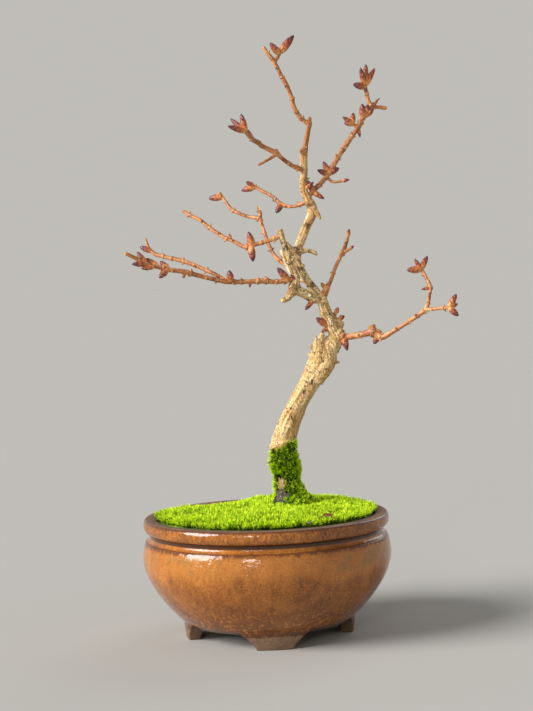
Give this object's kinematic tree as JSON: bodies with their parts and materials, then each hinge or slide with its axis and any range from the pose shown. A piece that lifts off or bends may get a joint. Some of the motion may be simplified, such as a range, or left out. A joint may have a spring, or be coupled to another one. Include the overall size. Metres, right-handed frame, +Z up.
{
  "type": "bonsai tree in a pot",
  "caption": "Small leafless bonsai in bud with a leaning trunk and open crown, moss over its soil, in a round glazed pot on low bracket feet.",
  "frame": {"origin": "centre of the whole object's box in X and Y, on the plane that the four feet stand on", "axes": "+Z up along the tree, X across the spread of the branches with +X to the right in the front view, +Y away from the front view"},
  "size_m": [0.196, 0.1528, 0.3654],
  "materials": {
    "glaze": "glossy caramel glaze with fine speckles, dark where it pools, over brown clay that is bare at the rim's top and the feet",
    "soil": "matt, dark, fine-grained",
    "moss": "matt, bright yellow-green",
    "bark": "matt pale tan bark with dark fissures and scars",
    "twig": "satin orange-brown twig bark with pale lenticels",
    "deadwood": "matt, pale, peeling",
    "bud": "satin reddish-brown scales, dark purple towards the tip",
    "mesh_plastic": "matt black",
    "wire": "satin"
  },
  "bodies": {
    "root": {"pot": "glaze", "drain_mesh": "mesh_plastic", "mesh_clip": "wire", "anchor_wire": "wire", "trunk": "bark", "leader": "bark", "knee_limb": "bark", "blunt_limb": "bark", "rear_limb": "deadwood", "rear_branch": "deadwood", "crooked_branch": "twig", "lower_left_branch": "twig", "lower_left_fork": "twig", "small_left_twig": "twig", "upper_left_branch": "twig", "upper_right_branch": "twig", "apex_branch": "twig", "right_middle_twig": "twig", "right_branch": "twig", "right_upper_fork": "twig", "right_side_fork": "twig", "trunk_bud": "bud", "knee_bud": "bud", "apex_bud_left": "bud", "apex_bud_right": "bud", "upper_left_bud_top": "bud", "upper_left_bud_rear": "bud", "upper_left_bud_front": "bud", "upper_left_bud_inner": "bud", "upper_right_bud_low": "bud", "upper_right_bud_left": "bud", "upper_right_bud_top": "bud", "upper_right_bud_right": "bud", "node_bud_upper": "bud", "node_bud_left": "bud", "shoot_bud_tall": "bud", "mid_bud_upper": "bud", "mid_bud_left": "bud", "mid_bud_right": "bud", "fork_bud_upper": "bud", "fork_bud_lower": "bud", "small_left_bud_low": "bud", "small_left_bud_tip": "bud", "crooked_bud_upper": "bud", "crooked_bud_lower": "bud", "rear_bud": "bud", "junction_bud": "bud", "lower_left_bud_1": "bud", "lower_left_bud_2": "bud", "lower_left_bud_3": "bud", "lower_left_bud_4": "bud", "lower_left_bud_5": "bud", "fork_tip_bud": "bud", "right_tip_bud_upper": "bud", "right_tip_bud_side": "bud", "side_tip_bud_upper": "bud", "side_tip_bud_lower": "bud", "soil": "soil", "moss_carpet": "moss", "moss_sleeve": "moss"}
  },
  "joints": []
}
